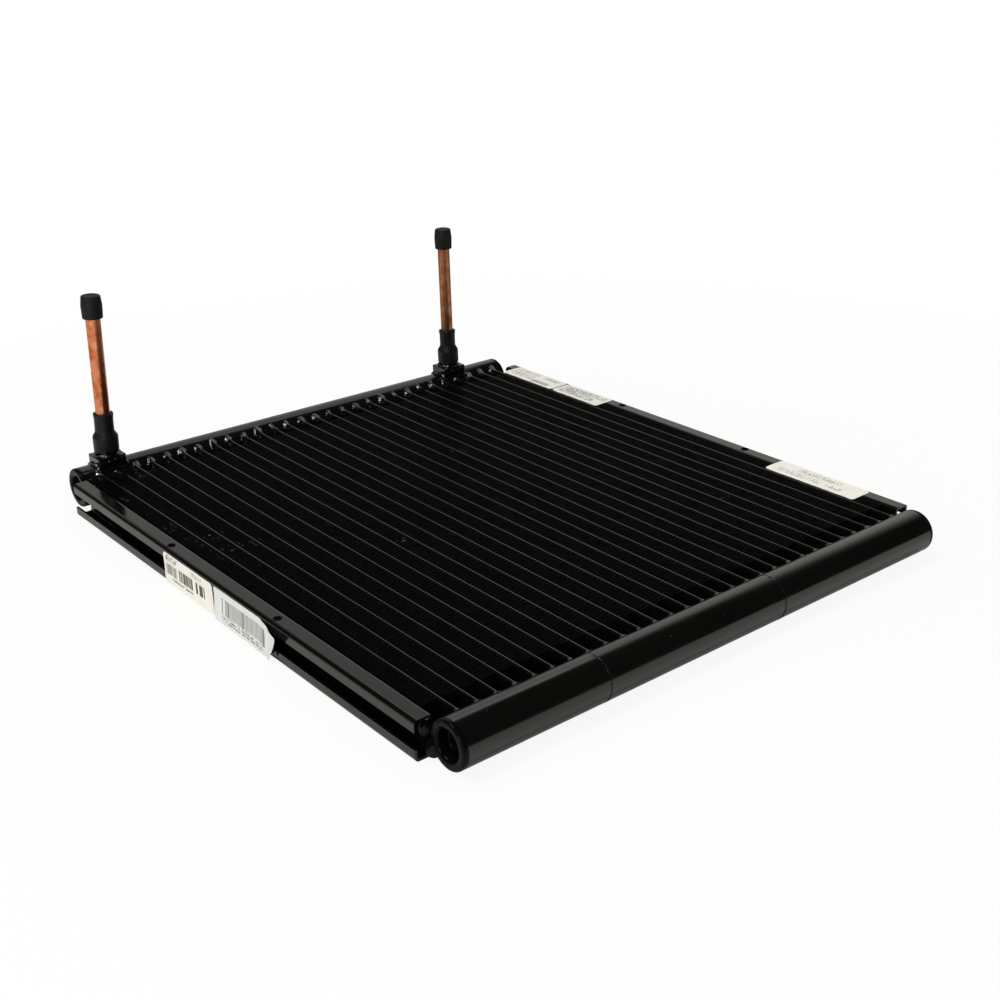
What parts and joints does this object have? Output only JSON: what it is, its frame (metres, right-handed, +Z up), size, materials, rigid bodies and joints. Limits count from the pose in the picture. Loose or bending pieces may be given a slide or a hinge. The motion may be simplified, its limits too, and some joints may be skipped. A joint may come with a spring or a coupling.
{
  "type": "condenser coil",
  "caption": "Black-coated flat-tube condenser coil with folded fins, round headers, lipped side channels and upright capped copper stubs.",
  "frame": {"origin": "on the surface that the coil lies on, under the middle of the core", "axes": "+X along the headers, +Y along the flat tubes towards the header with the stubs, +Z up, square to the core's face"},
  "size_m": [0.3213, 0.36, 0.1173],
  "materials": {
    "coated_tube": "extruded flat tube under a semi-gloss black coat",
    "coated_fin": "folded foil under a matt black coat",
    "coated_header": "drawn tube under a semi-gloss black coat",
    "coated_plug": "turned part under a semi-gloss black coat",
    "coated_channel": "folded sheet under a semi-gloss black coat",
    "bare_aluminium": "turned, hidden under the sleeve",
    "copper": "drawn copper tube, scratched and slightly tarnished",
    "shrink_sleeve": "matt heat-shrunk sleeve",
    "cap_rubber": "matt moulded rubber",
    "label_paper": "white self-adhesive label, printed fields"
  },
  "bodies": {
    "root": {"flat_tube_01": "coated_tube", "flat_tube_02": "coated_tube", "flat_tube_03": "coated_tube", "flat_tube_04": "coated_tube", "flat_tube_05": "coated_tube", "flat_tube_06": "coated_tube", "flat_tube_07": "coated_tube", "flat_tube_08": "coated_tube", "flat_tube_09": "coated_tube", "flat_tube_10": "coated_tube", "flat_tube_11": "coated_tube", "flat_tube_12": "coated_tube", "flat_tube_13": "coated_tube", "flat_tube_14": "coated_tube", "flat_tube_15": "coated_tube", "flat_tube_16": "coated_tube", "flat_tube_17": "coated_tube", "flat_tube_18": "coated_tube", "flat_tube_19": "coated_tube", "flat_tube_20": "coated_tube", "flat_tube_21": "coated_tube", "flat_tube_22": "coated_tube", "flat_tube_23": "coated_tube", "flat_tube_24": "coated_tube", "flat_tube_25": "coated_tube", "flat_tube_26": "coated_tube", "flat_tube_27": "coated_tube", "flat_tube_28": "coated_tube", "flat_tube_29": "coated_tube", "fin_pack_1": "coated_fin", "fin_pack_2": "coated_fin", "fin_pack_3": "coated_fin", "fin_pack_4": "coated_fin", "fin_pack_5": "coated_fin", "fin_pack_6": "coated_fin", "front_header": "coated_header", "rear_header": "coated_header", "front_baffles": "coated_header", "front_header_plug_left": "coated_plug", "front_header_plug_right": "coated_plug", "rear_baffles": "coated_header", "rear_header_plug_left": "coated_plug", "rear_header_plug_right": "coated_plug", "left_fitting_block": "coated_plug", "left_spigot": "bare_aluminium", "left_copper_stub": "copper", "left_shrink_sleeve": "shrink_sleeve", "left_stub_cap": "cap_rubber", "left_side_channel": "coated_channel", "right_fitting_block": "coated_plug", "right_spigot": "bare_aluminium", "right_copper_stub": "copper", "right_shrink_sleeve": "shrink_sleeve", "right_stub_cap": "cap_rubber", "right_side_channel": "coated_channel", "side_label_rear": "label_paper", "side_label_front": "label_paper", "top_label_rear": "label_paper", "top_label_middle": "label_paper", "top_label_front": "label_paper"}
  },
  "joints": []
}
